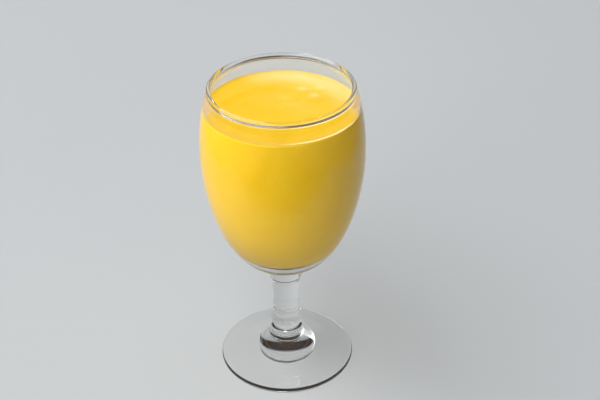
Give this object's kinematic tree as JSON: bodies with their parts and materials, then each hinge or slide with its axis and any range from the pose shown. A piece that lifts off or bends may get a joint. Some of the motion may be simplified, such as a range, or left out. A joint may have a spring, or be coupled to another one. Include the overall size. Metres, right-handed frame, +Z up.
{
  "type": "mango lassi in a glass goblet",
  "caption": "Thick yellow mango lassi filling an egg-shaped glass goblet to just under its rim, on a short stem with a round knop and a flat foot, for serving on a table.",
  "frame": {"origin": "centre of the foot's underside, on the surface that the goblet stands on", "axes": "+Z up along the goblet's axis of turning"},
  "size_m": [0.0828, 0.0828, 0.165],
  "materials": {
    "glass": "clear, smooth and fire-polished",
    "lassi": "opaque, thick and creamy with a soft wet sheen"
  },
  "bodies": {
    "root": {"glass": "glass", "lassi": "lassi"}
  },
  "joints": []
}
